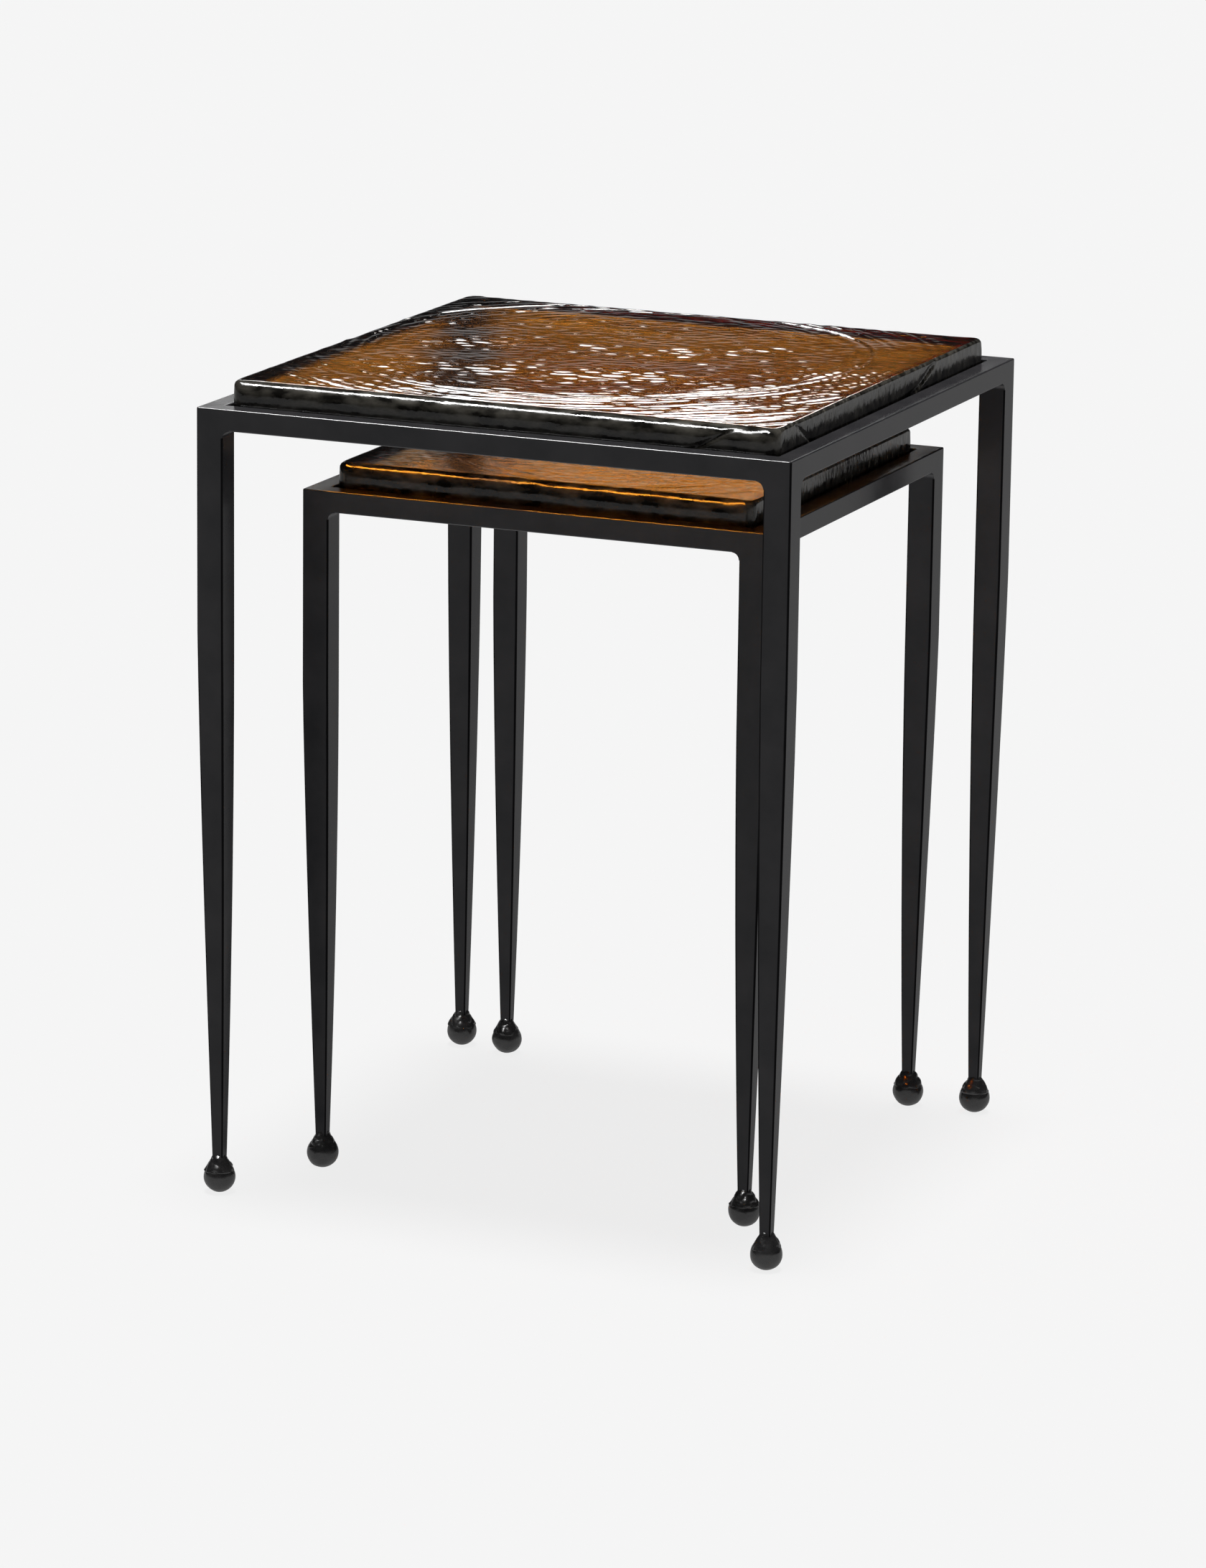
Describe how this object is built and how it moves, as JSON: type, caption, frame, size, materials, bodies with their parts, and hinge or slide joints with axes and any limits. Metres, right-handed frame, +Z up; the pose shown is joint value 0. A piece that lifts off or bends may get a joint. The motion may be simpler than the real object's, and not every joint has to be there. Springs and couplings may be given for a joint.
{
  "type": "nesting tables",
  "caption": "Nest of square side tables: black metal frames with tapered legs and ball feet, each holding a loose slab of rippled amber cast glass; the smaller slides under the larger.",
  "frame": {"origin": "on the floor, under the middle of the large table's square footprint", "axes": "+X to the right along the front, +Y to the back, +Z up"},
  "size_m": [0.432, 0.432, 0.572],
  "materials": {
    "frame_paint": "satin black paint on hand-dressed steel",
    "foot_paint": "satin to glossy black paint over lumpy weld metal and ball feet",
    "amber_glass": "polished cast glass, deep amber to brown black, rippled and swirled on top",
    "clear_bumper": "clear soft plastic disc"
  },
  "bodies": {
    "large_frame": {"large_back_glass_ledge": "frame_paint", "large_back_left_ball_foot": "foot_paint", "large_back_left_foot_weld": "foot_paint", "large_back_left_leg": "frame_paint", "large_back_left_rail_welds": "frame_paint", "large_back_rail": "frame_paint", "large_back_right_ball_foot": "foot_paint", "large_back_right_foot_weld": "foot_paint", "large_back_right_leg": "frame_paint", "large_back_right_rail_welds": "frame_paint", "large_front_glass_ledge": "frame_paint", "large_front_left_ball_foot": "foot_paint", "large_front_left_foot_weld": "foot_paint", "large_front_left_leg": "frame_paint", "large_front_left_rail_welds": "frame_paint", "large_front_rail": "frame_paint", "large_front_right_ball_foot": "foot_paint", "large_front_right_foot_weld": "foot_paint", "large_front_right_leg": "frame_paint", "large_front_right_rail_welds": "frame_paint", "large_glass_bumpers": "clear_bumper", "large_left_glass_ledge": "frame_paint", "large_left_rail": "frame_paint", "large_right_glass_ledge": "frame_paint", "large_right_rail": "frame_paint"},
    "large_glass": {"large_glass_top": "amber_glass"},
    "small_frame": {"small_back_glass_ledge": "frame_paint", "small_back_left_ball_foot": "foot_paint", "small_back_left_foot_weld": "foot_paint", "small_back_left_leg": "frame_paint", "small_back_left_rail_welds": "frame_paint", "small_back_rail": "frame_paint", "small_back_right_ball_foot": "foot_paint", "small_back_right_foot_weld": "foot_paint", "small_back_right_leg": "frame_paint", "small_back_right_rail_welds": "frame_paint", "small_front_glass_ledge": "frame_paint", "small_front_left_ball_foot": "foot_paint", "small_front_left_foot_weld": "foot_paint", "small_front_left_leg": "frame_paint", "small_front_left_rail_welds": "frame_paint", "small_front_rail": "frame_paint", "small_front_right_ball_foot": "foot_paint", "small_front_right_foot_weld": "foot_paint", "small_front_right_leg": "frame_paint", "small_front_right_rail_welds": "frame_paint", "small_glass_bumpers": "clear_bumper", "small_left_glass_ledge": "frame_paint", "small_left_rail": "frame_paint", "small_right_glass_ledge": "frame_paint", "small_right_rail": "frame_paint"},
    "small_glass": {"small_glass_top": "amber_glass"}
  },
  "joints": [
    {"name": "large_glass_lift", "type": "slide", "parent": "large_frame", "child": "large_glass", "axis": [0, 0, 1], "range_m": [0, 0.03]},
    {"name": "small_table_slide", "type": "slide", "parent": "large_frame", "child": "small_frame", "axis": [0, 1, 0], "range_m": [-0.45, 0.36]},
    {"name": "small_glass_lift", "type": "slide", "parent": "small_frame", "child": "small_glass", "axis": [0, 0, 1], "range_m": [0, 0.03]}
  ]
}
